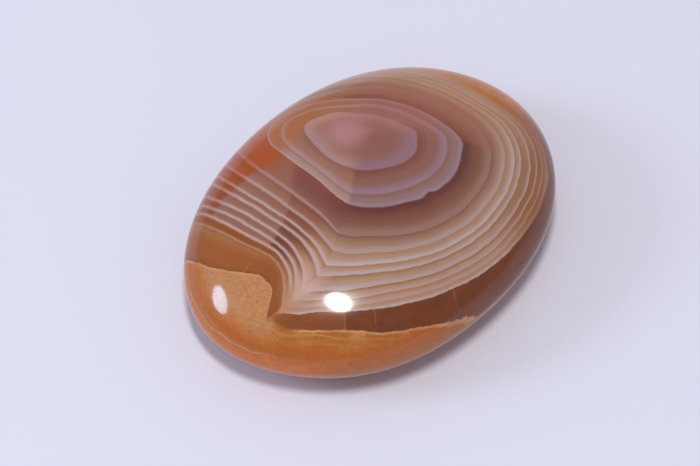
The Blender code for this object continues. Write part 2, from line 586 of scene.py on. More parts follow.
def add(kind, *values, output=None, named=()):
    """Adds a node with its settings, fills its open inputs in order or by name, gives an output."""
    node_type, settings = kind
    node = tree.nodes.new("ShaderNode" + node_type)
    for name, setting in settings.items():
        setattr(node, name, setting)
    filled = list(zip([socket for socket in node.inputs if socket.enabled], values))
    filled += [(node.inputs[name], value) for name, value in dict(named).items()]
    for socket, value in filled:
        if isinstance(value, bpy.types.NodeSocket):
            tree.links.new(value, socket)
        else:
            socket.default_value = value
    if output:
        return node.outputs[output]
    return next((socket for socket in node.outputs if socket.enabled), None)


print("the agate's material starts with", len(tree.nodes), "nodes")

# %% [markdown]
# The lines of a real agate aren't drawn with a ruler. They waver by about a tenth of a
# millimetre, the outer ones more than the inner ones. Two noises, a slow one and a fine one,
# move the growth level before any colour is looked up, so all the layers waver together.
# The move is in millimetres, so it is divided by the thickness of the layer. That thickness
# changes evenly, because the waver would jump at a line where it didn't.

# %% Wavering lines
SLOW_WAVER_PER_MM, SLOW_WAVER_MM = 0.45, 0.26
FINE_WAVER_PER_MM, FINE_WAVER_MM = 1.7, 0.13
# From one growth level to another, and the share of the waver at each.
WAVER_OUTWARDS = (1.0, 9.0, 0.5, 1.0)
WAVER_AT_RIND = (11.2, 11.9, 1.0, 1.35)
in_mm = add(SCALED, add(COORDINATES, output="Object"), 1 / MM)
along_mm, across_mm, height_mm = add(AXES, in_mm).node.outputs
on_mesh = {name: add(("Attribute", {"attribute_name": name}), output="Fac") for name in weights}


def swing(noise_value, size):
    """Noise turned into a value that swings to either side of 0."""
    return add(TIMES, add(MINUS, noise_value, 0.5), size)


drawn_level = on_mesh["growth_level"]
slow_waver = swing(add(NOISE, in_mm, SLOW_WAVER_PER_MM), SLOW_WAVER_MM)
fine_waver = swing(add(NOISE, in_mm, FINE_WAVER_PER_MM), FINE_WAVER_MM)
waver_mm = add(PLUS, slow_waver, fine_waver)
waver_mm = add(TIMES, waver_mm, add(LINEAR, drawn_level, *WAVER_OUTWARDS))
waver_mm = add(TIMES, waver_mm, add(LINEAR, drawn_level, *WAVER_AT_RIND))
level = add(PLUS, drawn_level, add(DIVIDED, waver_mm, on_mesh["even_thickness"]))
print("with the waver there are", len(tree.nodes), "nodes")

# %% [markdown]
# ## How a layer is coloured
#
# The water that laid the layers down ran out of silica and was renewed, time after time. So
# each layer starts dark and clear, with most of the iron, and turns milky outwards. Then the
# next one starts dark at once. The dark start takes a tenth of a millimetre to set in, and
# twice that in the eye and the wide layer round it. The share of a layer that is behind a
# point tells how far it has cleared to a middle tone, and then how milky it is. Round the
# eye the milky part starts later and makes a rim, and in the outer layers fine dark threads
# run through it.
#
# On the left face the layers are nearly clear, and only the last half millimetre of each
# turns milky. That gives the white lines, all of one width but for the last, which is thinner.

# %% Milkiness
WIDE_END_BLUR = 0.1
# Up to the end of the wide layer, and beyond it.
SET_IN_MM = (0.22, 0.10)
# From one share of a layer to another.
CLEARED = (0.07, 0.52)
MILKY = (0.45, 0.95)
RIM = (0.58, 1.0)
HEART_EDGE = (1.0, 0.97)
THREADS_PER_LAYER, THREAD_DETAIL = 7.0, 1.0
THREAD_EDGE = (0.5, 0.68)
THREAD_STRENGTH = (3.9, 4.3, 0.0, 0.4)
LINE_MM, LINE_FADE_MM = 0.14, 0.32
LINE_EDGE_MM = (0.02, 0.12)
LAST_LINE_THINNER = (10.1, 10.4, 1.0, 1.7)
LAST_LINE_FAINTER = (10.2, 10.5, 1.0, 0.8)
past_wide = add(LINEAR, level, WIDE_END - WIDE_END_BLUR, WIDE_END)
layer_mm = on_mesh["layer_thickness"]
behind = add(FRACTION, level)
from_start_mm = add(TIMES, behind, layer_mm)
from_end_mm = add(MINUS, layer_mm, from_start_mm)
not_set_in = add(SMOOTH, from_start_mm, add(LINEAR, past_wide, 0, 1, *SET_IN_MM), 0)
in_heart = add(SMOOTH, level, *HEART_EDGE)
cleared = add(LARGER, add(SMOOTH, behind, *CLEARED), add(LARGER, not_set_in, in_heart))
threads = add(SMOOTH, add(LAYER_NOISE, level, THREADS_PER_LAYER, THREAD_DETAIL), *THREAD_EDGE)
threads = add(TIMES, threads, add(LINEAR, level, *THREAD_STRENGTH))
milkiness = add(LARGER, add(MINUS, add(SMOOTH, behind, *MILKY), threads), not_set_in)
rim = add(LARGER, add(SMOOTH, behind, *RIM), not_set_in)
narrowed_mm = add(TIMES, from_end_mm, add(LINEAR, level, *LAST_LINE_THINNER))
line_rise = add(SMOOTH, narrowed_mm, LINE_MM + LINE_FADE_MM, LINE_MM)
line_rise = add(TIMES, line_rise, add(LINEAR, level, *LAST_LINE_FAINTER))
white_line = add(TIMES, line_rise, add(SMOOTH, from_end_mm, *LINE_EDGE_MM))
print("with the milkiness there are", len(tree.nodes), "nodes")

# %% [markdown]
# The palette has the roses and lilacs of the eye, the browns and creams of the bands, and
# the oranges, two of which paint the glow of the lit rind seen through the left face. They
# are matched to the real stone as paint would be, one for each feature that can be told
# apart, and lie close together because iron makes them all.

# %% Palette
ROSE = srgb("#b07878")
LILAC = srgb("#957a81")
MAUVE = srgb("#916872")
PINK = srgb("#aa7e79")
SILVER_ROSE = srgb("#a67f72")
CORAL = srgb("#a66c68")
BLUSH = srgb("#b4806e")
UMBER = srgb("#7a4638")
TERRACOTTA = srgb("#9a6051")
COPPER = srgb("#aa6030")
OXBLOOD = srgb("#602d26")
RUST = srgb("#8e4c38")
WINE = srgb("#814136")
CLARET = srgb("#743626")
COFFEE = srgb("#642f0c")
SALMON = srgb("#9e644e")
COPPER_ROSE = srgb("#9a6850")
EARTH = srgb("#8b584a")
WALNUT = srgb("#7c4932")
SAND = srgb("#967060")
CAMEL = srgb("#966b50")
GINGER = srgb("#965e36")
RUSSET = srgb("#935742")
OCHRE = srgb("#a27a5e")
WHEAT = srgb("#ae8468")
SIENNA = srgb("#946036")
OYSTER = srgb("#b29590")
SHELL = srgb("#b9a3a0")
PUTTY = srgb("#8e6a64")
LINEN = srgb("#b98f7c")
PEACH = srgb("#b88a70")
TAN = srgb("#b57f58")
AMBER = srgb("#c08048")
OLD_ROSE = srgb("#966048")
# Painted glow: the orange of the lit rind seen through the clear stone of the left face.
PAINTED_GLOW = srgb("#a84600")
DEEP_PAINTED_GLOW = srgb("#8c3c04")
ORANGE = srgb("#c47000")
CARAMEL = srgb("#a05e2a")
HONEY = srgb("#99501a")
TOFFEE = srgb("#8a4612")
BITTER = srgb("#6e2f00")
MILK = srgb("#bf9a91")
PEARL = srgb("#cfa595")


def by_level(*stops):
    """The pigment at the growth level, from a few (level, pigment) stops."""
    low, high = stops[0][0], stops[-1][0]
    ramp = add(COLOUR_RAMP, add(LINEAR, level, low, high)).node
    elements = ramp.color_ramp.elements
    while len(elements) < len(stops):
        elements.new(0.5)
    for element, (stop_level, pigment) in zip(elements, stops):
        element.position = (stop_level - low) / (high - low)
    for element, (stop_level, pigment) in zip(elements, stops):
        element.color = pigment
    return ramp.outputs["Color"]


def layered(dark, middle, milky, milky_share=milkiness):
    """A dark pigment at the start of each layer, then a middle one and a milky one at its end."""
    return add(MIX, milky_share, add(MIX, cleared, dark, middle), milky)


print("the darkest pigment is", [round(v, 3) for v in min(OXBLOOD, COFFEE, BITTER, key=sum)])

# %% [markdown]
# The foot has the strongest bands: lilac rims round the eye, one wide layer that starts the
# colour of oxblood, then creams over browns. To the right the browns turn golden and take
# over more of each layer. The outermost layer stayed clear and dark, with a few cloudy parts.

# %% Foot
GOLDEN_LEVELS, GOLDEN_ALONG_MM = (6.0, 8.5), (4.0, 11.0)
GOLDEN_START_OF_LAYER = (0.95, 0.6)
GOLDEN_WHOLE_LAYER = (8.6, 10.6, 0, 0.8)
CLOUDS_PER_MM, CLOUD_DETAIL, CLOUD_ROUGHNESS = 0.5, 4.0, 0.6
CLOUD_EDGE = (0.38, 0.66)
FOOT_CLOUDS = 0.25
foot_eye = layered(
    by_level((1, UMBER), (1.9, UMBER), (2.02, EARTH)),
    by_level((1, EARTH), (2, EARTH), (2.2, PUTTY)),
    by_level((1, MAUVE), (3, LILAC)),
    rim)
foot_bands = layered(
    by_level((3, OXBLOOD), (3.9, OXBLOOD), (4.1, EARTH), (5.2, OCHRE), (7.2, CAMEL),
             (8.3, SIENNA), (10.8, TAN)),
    by_level((3, WALNUT), (3.9, WALNUT), (4.1, CAMEL), (5.5, WHEAT), (11, WHEAT)),
    by_level((3, EARTH), (3.5, EARTH), (4, SAND), (5, OYSTER), (6, SHELL), (8, OYSTER),
             (10.6, LINEN), (11, SHELL)))
golden = add(TIMES, add(SMOOTH, level, *GOLDEN_LEVELS), add(SMOOTH, along_mm, *GOLDEN_ALONG_MM))
golden_start = add(SMOOTH, behind, *GOLDEN_START_OF_LAYER)
golden_share = add(LARGER, golden_start, add(LINEAR, level, *GOLDEN_WHOLE_LAYER))
foot_bands = add(MIX, add(TIMES, golden, golden_share), foot_bands, GINGER)
foot_dark = by_level((11, COFFEE), (11.25, BITTER), (12, BITTER))
clouds = add(SMOOTH, add(NOISE, in_mm, CLOUDS_PER_MM, CLOUD_DETAIL, CLOUD_ROUGHNESS), *CLOUD_EDGE)
foot_dark = add(MIX, add(TIMES, clouds, FOOT_CLOUDS), foot_dark, TOFFEE)
print("with the foot there are", len(tree.nodes), "nodes")

# %% [markdown]
# The far side is warmer and its layers fade into each other, out to an orange edge. Over the
# top of the eye it is warmer still, with one streak where the wide layer begins, which turns
# dark to the right.

# %% Far side and top
ORANGE_ACROSS_MM = (-6.5, 1.0)
ORANGE_LEVELS = (8.2, 10.4)
FAR_CLOUDS = 0.35
STREAK_DARK_ALONG_MM = (4.8, 7.2)
STREAK_ENDS = (WIDE_END, WIDE_END - WIDE_END_BLUR)
far_eye = layered(TERRACOTTA, TERRACOTTA, CORAL, rim)
far_bands = layered(
    by_level((3, RUST), (3.6, RUST), (4.1, SALMON), (5.2, CAMEL), (7, OCHRE), (11, OCHRE)),
    by_level((3, RUSSET), (4.2, SALMON), (5, TAN), (8, PEACH), (11, PEACH)),
    by_level((3, SALMON), (4.2, SALMON), (5.5, PEACH), (11, PEACH)))
turned_orange = add(SMOOTH, across_mm, *ORANGE_ACROSS_MM)
far_dark = add(MIX, turned_orange, TOFFEE, ORANGE)
far_dark = add(MIX, add(TIMES, clouds, FAR_CLOUDS), far_dark, CARAMEL)
far_bands = add(MIX, add(LINEAR, level, *ORANGE_LEVELS), far_bands, far_dark)
top_eye = layered(TERRACOTTA, SALMON, BLUSH, rim)
top_bands = layered(
    by_level((3, TOFFEE), (4.0, TOFFEE), (4.6, CAMEL), (6, TAN), (9, AMBER), (11, ORANGE)),
    by_level((3, COPPER), (4.2, SIENNA), (6, PEACH), (9, AMBER), (11, ORANGE)),
    by_level((3, COPPER), (4.2, OCHRE), (6, PEACH), (8, PEACH), (9.5, AMBER), (11, ORANGE)))
top_streak = add(MIX, add(SMOOTH, along_mm, *STREAK_DARK_ALONG_MM), COPPER, BITTER)
not_cleared = add(MINUS, 1.0, cleared)
on_streak = add(TIMES, add(SMOOTH, level, *STREAK_ENDS), not_cleared)
top_bands = add(MIX, on_streak, top_bands, top_streak)
print("with the far side and the top there are", len(tree.nodes), "nodes")

# %% [markdown]
# On the left face the ground between the white lines changes at two edges. Above the upper
# edge it is painted orange, a painted glow of the lit rind seen through the clear stone.
# Between them it is a greyish rose. Below the lower edge it is painted shade: dark, and
# paling to tan near the seam.

# %% Grounds of the left face
left_eye = layered(
    by_level((1, EARTH), (2, EARTH), (2.05, PUTTY)),
    by_level((1, COPPER_ROSE), (2, COPPER_ROSE), (2.2, SILVER_ROSE)),
    by_level((2.2, PINK), (3.8, MILK)),
    rim)
rose_ground = layered(
    by_level((3, RUSSET), (3.9, RUSSET), (4.2, EARTH), (9.4, EARTH), (10, TOFFEE)),
    by_level((3, RUSSET), (3.8, RUSSET), (4.2, OLD_ROSE), (9.4, OLD_ROSE), (10.2, TOFFEE)),
    by_level((3, RUSSET), (3.9, OLD_ROSE), (4.1, OCHRE), (6, SAND), (9.8, SAND), (10.6, CARAMEL)))
# The next two grounds are painted shade below the lower edge, the second one lighter.
deep_painted_shade = layered(
    by_level((3, WINE), (3.9, WINE), (4.2, WALNUT), (9.2, COFFEE), (10.2, TOFFEE)),
    by_level((3, WINE), (3.7, UMBER), (4.2, RUSSET), (5.2, RUST), (7.3, WALNUT), (9, COFFEE),
             (10.2, TOFFEE)),
    by_level((3, UMBER), (3.9, EARTH), (4.1, SAND), (7, EARTH), (9.6, WALNUT), (10.6, CARAMEL)))
light_painted_shade = layered(
    by_level((3, CLARET), (3.9, CLARET), (4.2, CAMEL), (8, WALNUT), (9.4, SIENNA), (10.8, CARAMEL)),
    by_level((3, CLARET), (3.6, UMBER), (3.9, EARTH), (4.3, OCHRE), (7, TAN), (9.8, TAN),
             (10.8, CARAMEL)),
    by_level((3, UMBER), (3.9, EARTH), (4.1, OCHRE), (6, OYSTER), (9.8, LINEN), (10.8, TAN)))
# Painted glow above the upper edge, where the lit rind shows through the clear stone.
painted_glow_ground = layered(
    by_level((3, PAINTED_GLOW), (4, PAINTED_GLOW), (4.2, DEEP_PAINTED_GLOW)),
    by_level((3, PAINTED_GLOW), (4, PAINTED_GLOW), (8, DEEP_PAINTED_GLOW)),
    by_level((3, PAINTED_GLOW), (6, PAINTED_GLOW), (9, CARAMEL), (11, CARAMEL)))
print("with the left grounds there are", len(tree.nodes), "nodes")

# %% [markdown]
# The upper edge, of the painted glow, keeps one height of the plan, and the lower one, of the
# painted shade, climbs towards the eye. Both edges step from layer to layer, reaching a little
# further along some layers than along others, and a fine noise roughens them. In the wide
# layer round the eye they are soft.

# %% Edges of the painted glow and the painted shade
UPPER_EDGE = 9.2
UPPER_EDGE_ABOVE, UPPER_EDGE_BELOW = 0.4, (3.9, 4.1, 2.2, 0.3)
LOWER_EDGE = 1.45
LOWER_EDGE_SLOPE = 0.2
LOWER_EDGE_CURVE = 0.046
LOWER_EDGE_START = -12.0
LOWER_EDGE_BLUR_MM = (-0.12, 0.2)
# Up to the end of the wide layer, and beyond it.
LOWER_EDGE_SHARPNESS = (0.25, 1.0)
LIGHT_SHADE_UP_TO_MM, DEEP_SHADE_FROM_MM = (-1.0, -2.8), (3.5, 0.8)
EDGE_STEP_MM, STEPS_PER_LAYER = 1.2, 0.77
EDGE_ROUGHNESS_MM, EDGE_ROUGHNESS_PER_MM = 0.5, 1.6
GLOW_EDGE_WANDER_MM, GLOW_EDGE_WANDER_PER_MM = 0.9, 0.5
layer_step = add(LAYER_NOISE, add(WHOLE_PART, level), STEPS_PER_LAYER)
rough_edge = swing(add(NOISE, in_mm, EDGE_ROUGHNESS_PER_MM), EDGE_ROUGHNESS_MM)
glow_and_shade_height = add(PLUS, add(PLUS, across_mm, rough_edge), swing(layer_step, EDGE_STEP_MM))
past_start = add(MINUS, along_mm, LOWER_EDGE_START)
climb = add(TIMES, past_start, LOWER_EDGE_SLOPE)
climb = add(PLUS, climb, add(TIMES, add(TIMES, past_start, past_start), LOWER_EDGE_CURVE))
above_lower_edge = add(MINUS, glow_and_shade_height, add(PLUS, climb, LOWER_EDGE))
above_lower_edge = add(TIMES, above_lower_edge, add(LINEAR, past_wide, 0, 1, *LOWER_EDGE_SHARPNESS))
light_shade_up_to = add(LINEAR, past_wide, 0, 1, *LIGHT_SHADE_UP_TO_MM)
deep_shade_from = add(LINEAR, past_wide, 0, 1, *DEEP_SHADE_FROM_MM)
# Painted shade below the lower edge, lighter near the seam, and the rose ground above it.
ground = add(MIX, add(SMOOTH, across_mm, light_shade_up_to, deep_shade_from), light_painted_shade, deep_painted_shade)
ground = add(MIX, add(SMOOTH, above_lower_edge, *LOWER_EDGE_BLUR_MM), ground, rose_ground)
# The painted glow above the upper edge, whose edge wanders a little more.
glow_edge_mm = add(PLUS, glow_and_shade_height, swing(add(NOISE, in_mm, GLOW_EDGE_WANDER_PER_MM), GLOW_EDGE_WANDER_MM))
glow_start = add(MINUS, UPPER_EDGE, add(LINEAR, level, *UPPER_EDGE_BELOW))
in_painted_glow = add(SMOOTH, glow_edge_mm, glow_start, UPPER_EDGE + UPPER_EDGE_ABOVE)
ground = add(MIX, in_painted_glow, ground, painted_glow_ground)
print("with the stain's edges there are", len(tree.nodes), "nodes")

# %% [markdown]
# The white lines go over the ground, and fade towards the top, in the painted glow. The last
# layer of this face is the colour of caramel, and darker towards the seam.

# %% White lines
LINE_STRENGTH_ACROSS_MM = (7.5, 10.5, 1.0, 0.45)
CARAMEL_CLOUDS = 0.12
SHADE_ACROSS_MM, SHADE_STRENGTH = (2.5, -0.5), 0.22
lines = by_level((3.9, PINK), (6, MILK), (10, MILK), (10.6, WHEAT))
line_strength = add(LINEAR, across_mm, *LINE_STRENGTH_ACROSS_MM)
left_bands = add(MIX, add(TIMES, white_line, line_strength), ground, lines)
left_dark = by_level((11, CAMEL), (11.14, CARAMEL), (11.4, HONEY), (11.8, HONEY), (12, TOFFEE))
left_dark = add(MIX, add(TIMES, clouds, CARAMEL_CLOUDS), left_dark, TOFFEE)
left_shade = add(TIMES, add(SMOOTH, across_mm, *SHADE_ACROSS_MM), SHADE_STRENGTH)
left_dark = add(MIX, left_shade, left_dark, BITTER)
print("with the white lines there are", len(tree.nodes), "nodes")

# %% [markdown]
# Near the seam the layers of both faces squeeze together and turn milky, because the silica
# filled that corner last. The milky fan reaches further on the left side. In the middle of
# the eye is a rosy heart, and the painted glow of the lit rind tints the eye's upper left,
# less on its pale rims.

# %% Put the faces together
HEART = (2.5, 6.0, 11.2)
HEART_REACH = (3.0, 0.3)
FAN_LEFT_MM, FAN_FOOT_MM = (-2.4, -0.3), (1.8, 0.1)
FAN_STRENGTH = (5.5, 8.8, 0, 0.92)
TINT_ACROSS_MM = (UPPER_EDGE - 1.4, UPPER_EDGE + 1.2)
TINT_LEVELS = (0.9, 1.3)
TINT_ON_RIMS = (0.5, 1.0, 1.0, 0.35)
TINT_ALONG_MM = (6.5, 1.5, 0, 0.92)
# From one growth level to another, and the seam's blur at each in millimetres.
EYE_SEAM_BLUR = (0.8, 1.1, 1.4, 0.25)
BAND_SEAM_BLUR = (3.4, 4.1, 0.8, 0.08)
DARK_SEAM_BLUR_MM = 0.1
past_seam_mm = on_mesh["past_seam"]


def on_each_face(left, foot, far, top, seam_mm):
    """One kind of layer on all four faces, blended where they meet."""
    far_to_top = add(MIX, on_mesh["top_side"], far, top)
    foot_to_top = add(MIX, on_mesh["far_side"], foot, far_to_top)
    before_seam = add(SMOOTH, add(DIVIDED, past_seam_mm, seam_mm), 1, -1)
    return add(MIX, add(TIMES, before_seam, on_mesh["left_end"]), foot_to_top, left)


eye = on_each_face(left_eye, foot_eye, far_eye, top_eye, add(LINEAR, level, *EYE_SEAM_BLUR))
eye = add(MIX, add(SMOOTH, add(DISTANCE, in_mm, HEART), *HEART_REACH), eye, ROSE)
# Painted glow: the lit rind seen through the stone tints the eye's upper left.
painted_glow_on_eye = add(TIMES, add(SMOOTH, glow_and_shade_height, *TINT_ACROSS_MM), add(SMOOTH, level, *TINT_LEVELS))
painted_glow_on_eye = add(TIMES, painted_glow_on_eye, add(LINEAR, rim, *TINT_ON_RIMS))
painted_glow_on_eye = add(TIMES, painted_glow_on_eye, add(LINEAR, along_mm, *TINT_ALONG_MM))
eye = add(MIX, painted_glow_on_eye, eye, COPPER)
bands = on_each_face(left_bands, foot_bands, far_bands, top_bands, add(LINEAR, level, *BAND_SEAM_BLUR))
fan = add(TIMES, add(SMOOTH, past_seam_mm, *FAN_LEFT_MM), add(SMOOTH, past_seam_mm, *FAN_FOOT_MM))
fan = add(TIMES, fan, add(LINEAR, level, *FAN_STRENGTH))
bands = add(MIX, fan, bands, by_level((5.5, MILK), (8.2, PEARL), (9.2, PEACH), (10.2, TAN), (11, TAN)))
dark_layer = on_each_face(left_dark, foot_dark, far_dark, ORANGE, DARK_SEAM_BLUR_MM)
print("with the faces put together there are", len(tree.nodes), "nodes")

# %% [markdown]
# A few healed cracks cross the dark layer at right angles, as hair-thin paler lines. They
# are placed by their angles from the eye. From the seam to the first of them along the foot
# the layer is a lighter brown, and lightest by the seam. At the seam a short, pinkish wedge
# of milky silica runs out towards the rind.

# %% Cracks and wedge
CRACK_ANGLES = (-169.6, -136.6, -128.4, -104.3)
LIGHTER_UP_TO = -136.6
CRACK_RADIUS_MM = 19.5
CRACK_WANDER_PER_MM, CRACK_WANDER_MM = 0.6, 0.9
HALF_CRACK_MM = 0.07
CRACK_PATCHES_PER_MM, CRACK_STRENGTH = 0.5, (0.4, 0.7, 0.05, 0.3)
LIGHTER_PAST_SEAM_MM = (-0.1, 0.1)
LIGHTER_CLOUDS = 0.35
CARAMEL_BY_SEAM = (1.6, 0.2, 0.0, 0.55)
WEDGE_START, WEDGE_LENGTH, WEDGE_MM, WEDGE_TIP_MM = DARK_LAYER - 0.4, 1.25, 0.65, 0.03
WEDGE_EDGE = (1.0, 0.5)
PALE_WEDGE = srgb("#b0704e")
EYE_ENDS = (EYE_EDGE - 0.02, EYE_EDGE + 0.02)
DARK_LAYER_STARTS = (DARK_LAYER - 0.02, DARK_LAYER + 0.08)
from_eye_x = add(MINUS, along_mm, EYE[0])
from_eye_y = add(MINUS, across_mm, EYE[1])
round_eye_mm = add(TIMES, add(ANGLE_OF, from_eye_y, from_eye_x), CRACK_RADIUS_MM)
round_eye_mm = add(PLUS, round_eye_mm, swing(add(NOISE, in_mm, CRACK_WANDER_PER_MM), CRACK_WANDER_MM))
lighter_end = math.radians(LIGHTER_UP_TO) * CRACK_RADIUS_MM
lighter = add(SMOOTH, round_eye_mm, lighter_end + 0.15, lighter_end - 0.05)
lighter = add(TIMES, lighter, add(SMOOTH, past_seam_mm, *LIGHTER_PAST_SEAM_MM))
corner_layer = add(MIX, add(TIMES, clouds, LIGHTER_CLOUDS), TOFFEE, BITTER)
corner_layer = add(MIX, add(LINEAR, past_seam_mm, *CARAMEL_BY_SEAM), corner_layer, CARAMEL)
dark_layer = add(MIX, lighter, dark_layer, corner_layer)
for crack_angle in CRACK_ANGLES:
    crack_mm = add(MINUS, round_eye_mm, math.radians(crack_angle) * CRACK_RADIUS_MM)
    on_crack = add(SMOOTH, add(SIZE_OF, crack_mm), HALF_CRACK_MM * 2, 0.0)
    patches = add(NOISE, in_mm, CRACK_PATCHES_PER_MM)
    on_crack = add(TIMES, on_crack, add(LINEAR, patches, *CRACK_STRENGTH))
    dark_layer = add(MIX, on_crack, dark_layer, TAN)
wedge_width = add(LINEAR, level, WEDGE_START, WEDGE_START + WEDGE_LENGTH, WEDGE_MM, WEDGE_TIP_MM)
wedge = add(SMOOTH, add(DIVIDED, add(SIZE_OF, past_seam_mm), wedge_width), *WEDGE_EDGE)
dark_layer = add(MIX, wedge, dark_layer, by_level((11, TAN), (11.6, PALE_WEDGE)))
banded = add(MIX, add(SMOOTH, level, *EYE_ENDS), eye, bands)
banded = add(MIX, add(SMOOTH, level, *DARK_LAYER_STARTS), banded, dark_layer)
print("with the cracks there are", len(tree.nodes), "nodes")

# %% [markdown]
# ## The rind
#
# The rind is the skin of the nodule, where the silica met the lava. It is a mottled tan at
# the narrow end and orange along the foot, with streaks along the growth layers. It is
# deepest in colour where the girdle curves under. Slow noise moves the heights at which its
# colours change, so they don't follow a level line.

# %% Colours of the rind
# Features in a millimetre, detail and roughness of the noise, and then the mottle's soft edge.
MOTTLE, MOTTLE_EDGE = (2.2, 4.0, 0.6), (0.25, 0.75)
BLOTCHES, BLOTCH_EDGE = (0.42, 3.0), (0.38, 0.62)
STREAKS_PER_LAYER, STREAK_EDGE = 5.0, (0.42, 0.66)
STREAK_WANDER_PER_MM, STREAK_WANDER = 0.3, 1.6
STREAK_STRENGTH, LOW_STREAK_STRENGTH, END_STREAK_STRENGTH = 0.6, 0.18, 0.3
TAN_ACROSS_MM = (-5.5, -3.0)
HEIGHT_WANDER_PER_MM, HEIGHT_WANDER_MM = 0.25, 1.6
DEEP_HEIGHT_MM, LOW_HEIGHT_MM = (8.4, 7.0, 0.0, 0.9), (6.4, 5.4)
NARROW_END_MM = (-12.5, -16.5)
PALE_RIND = srgb("#c08450")
TAN_RIND = srgb("#b47448")
ORANGE_RIND = srgb("#ac600a")
GOLD_RIND = srgb("#bb771a")
DEEP_RIND = srgb("#b95200")
PINK_RIND = srgb("#b05c00")
BRIGHT_RIND = srgb("#cb6406")
FAR_RIND = srgb("#b45400")
mottle = add(SMOOTH, add(NOISE, in_mm, *MOTTLE), *MOTTLE_EDGE)
blotch = add(SMOOTH, add(NOISE, in_mm, *BLOTCHES), *BLOTCH_EDGE)
streak_wander = swing(add(NOISE, in_mm, STREAK_WANDER_PER_MM), STREAK_WANDER)
streak_place = add(PLUS, add(TIMES, level, STREAKS_PER_LAYER), streak_wander)
streak = add(SMOOTH, add(LAYER_NOISE, streak_place, 1.0), *STREAK_EDGE)
foot_rind = add(MIX, blotch, ORANGE_RIND, add(MIX, mottle, GOLD_RIND, PALE_RIND))
foot_rind = add(MIX, add(TIMES, streak, STREAK_STRENGTH), foot_rind, PALE_RIND)
end_tan = add(MIX, mottle, TAN_RIND, PALE_RIND)
rind = add(MIX, add(SMOOTH, across_mm, *TAN_ACROSS_MM), foot_rind, end_tan)
slow_height = add(PLUS, height_mm, swing(add(NOISE, in_mm, HEIGHT_WANDER_PER_MM), HEIGHT_WANDER_MM))
deep_rind = add(MIX, mottle, DEEP_RIND, ORANGE_RIND)
rind = add(MIX, add(LINEAR, slow_height, *DEEP_HEIGHT_MM), rind, deep_rind)
lower_rind = add(MIX, mottle, PINK_RIND, ORANGE_RIND)
lower_rind = add(MIX, add(TIMES, streak, LOW_STREAK_STRENGTH), lower_rind, PALE_RIND)
end_rind = add(MIX, add(TIMES, streak, END_STREAK_STRENGTH), BRIGHT_RIND, PALE_RIND)
lower_rind = add(MIX, add(SMOOTH, along_mm, *NARROW_END_MM), lower_rind, end_rind)
rind = add(MIX, add(SMOOTH, slow_height, *LOW_HEIGHT_MM), rind, lower_rind)
print("with the rind's colours there are", len(tree.nodes), "nodes")

# %% [markdown]
# Round the narrow end a faint pale line runs a little above the girdle. It is a painted
# reflection, the edge of the table's mirror image where the stone curves down. Everything
# in the rind is grainy, and a little darker away from that end. Grains of iron oxide a tenth
# of a millimetre across are scattered through it, as the centres of a random pattern of
# cells. A cell keeps its grain where the cell's own random colour is bright enough, and a
# slow noise makes the grains fainter in patches. On the far side the rind is as orange as
# the layers before it.

# %% Painted reflection line, grain and specks
REFLECTION_LINE_HEIGHT = 6.2
REFLECTION_LINE_MM = (0.13, 0.03)
REFLECTION_LINE_ALONG_MM = (-16.5, -19.0, 0.0, 0.5)
# One pale colour serves the real pale line at the rind's edge and the painted reflection line.
PALE_RIND_LINE_AND_REFLECTION = srgb("#c8946a")
IRON_SPECK = srgb("#7c3c14")
GRAINS_PER_MM, GRAIN_DETAIL, GRAIN_ROUGHNESS, GRAIN_STRENGTH = 6.5, 3.0, 0.7, 0.8
BRIGHTNESS_ALONG_MM = (-9.0, 1.0, 1.0, 0.88)
SPECKS_PER_MM, SPECK_RADIUS_MM = 3.0, 0.045
SPECK_EDGE = (1.8, 0.8)
SPECK_KEPT = (0.45, 0.62)
SPECK_PATCHES_PER_MM, SPECK_STRENGTH = 0.35, (0.3, 0.55, 0.25, 1.0)
FAR_RIND_ACROSS_MM, FAR_RIND_STRENGTH = (2.0, 6.0), 0.85
# Painted reflection: a faint pale line low round the narrow end, where the table's mirror image ends.
painted_reflection_line = add(SMOOTH, add(SIZE_OF, add(MINUS, slow_height, REFLECTION_LINE_HEIGHT)), *REFLECTION_LINE_MM)
painted_reflection_line = add(TIMES, painted_reflection_line, add(LINEAR, along_mm, *REFLECTION_LINE_ALONG_MM))
rind = add(MIX, painted_reflection_line, rind, PALE_RIND_LINE_AND_REFLECTION)
far_rind = add(TIMES, on_mesh["far_side"], add(SMOOTH, across_mm, *FAR_RIND_ACROSS_MM))
rind = add(MIX, add(TIMES, far_rind, FAR_RIND_STRENGTH), rind, add(MIX, turned_orange, TOFFEE, FAR_RIND))
grain = swing(add(NOISE, in_mm, GRAINS_PER_MM, GRAIN_DETAIL, GRAIN_ROUGHNESS), GRAIN_STRENGTH)
grain = add(PLUS, grain, add(LINEAR, along_mm, *BRIGHTNESS_ALONG_MM))
rind = add(SCALED, rind, grain)
specks = add(SCATTERED_CELLS, in_mm, SPECKS_PER_MM).node.outputs
speck_radii = [SPECK_RADIUS_MM * SPECKS_PER_MM * edge for edge in SPECK_EDGE]
on_speck = add(SMOOTH, specks["Distance"], *speck_radii)
kept_speck = add(SMOOTH, specks["Color"], *SPECK_KEPT)
speck_strength = add(LINEAR, add(NOISE, in_mm, SPECK_PATCHES_PER_MM), *SPECK_STRENGTH)
on_speck = add(TIMES, on_speck, add(TIMES, kept_speck, speck_strength))
rind = add(MIX, on_speck, rind, IRON_SPECK)
print("with the specks there are", len(tree.nodes), "nodes")

# %% [markdown]
# The rind starts with one pale line. Beside the seam's corner the line is missing, and rind
# and dark layer are stained into each other.

